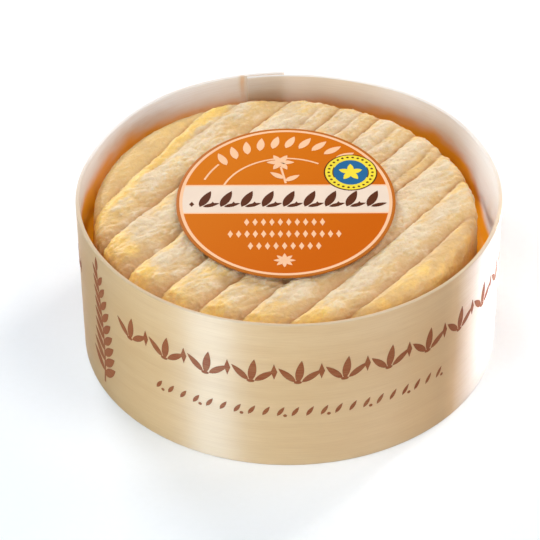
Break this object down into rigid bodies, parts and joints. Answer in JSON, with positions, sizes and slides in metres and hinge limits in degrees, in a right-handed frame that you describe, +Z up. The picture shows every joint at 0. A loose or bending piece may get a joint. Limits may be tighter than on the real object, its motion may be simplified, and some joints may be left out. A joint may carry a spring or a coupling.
{
  "type": "soumaintrain cheese in its box",
  "caption": "Soft washed-rind cheese with a ridged golden top and an oval paper label, resting in its open round box of pale veneer.",
  "frame": {"origin": "centre of the box at the foot of its wall, on the surface that it stands on", "axes": "+Z up along the box's axis, +Y towards the lap in the veneer, +X to the right when the lap is at the back"},
  "size_m": [0.1, 0.1007, 0.0414],
  "materials": {
    "veneer_wall": "pale peeled poplar veneer, unvarnished, fine grain running round the box, brown print outside",
    "veneer_base": "pale peeled poplar veneer, unvarnished, straight grain",
    "washed_rind": "moist golden washed rind, cream to orange, with a pale dusty bloom on the crests",
    "label_paper": "smooth orange printed paper with a cream band and ring, soft sheen",
    "staple_wire": "flat galvanised steel wire"
  },
  "bodies": {
    "root": {"box_wall": "veneer_wall", "box_base": "veneer_base", "cheese": "washed_rind", "label": "label_paper", "staple_upper": "staple_wire", "staple_lower": "staple_wire"}
  },
  "joints": []
}
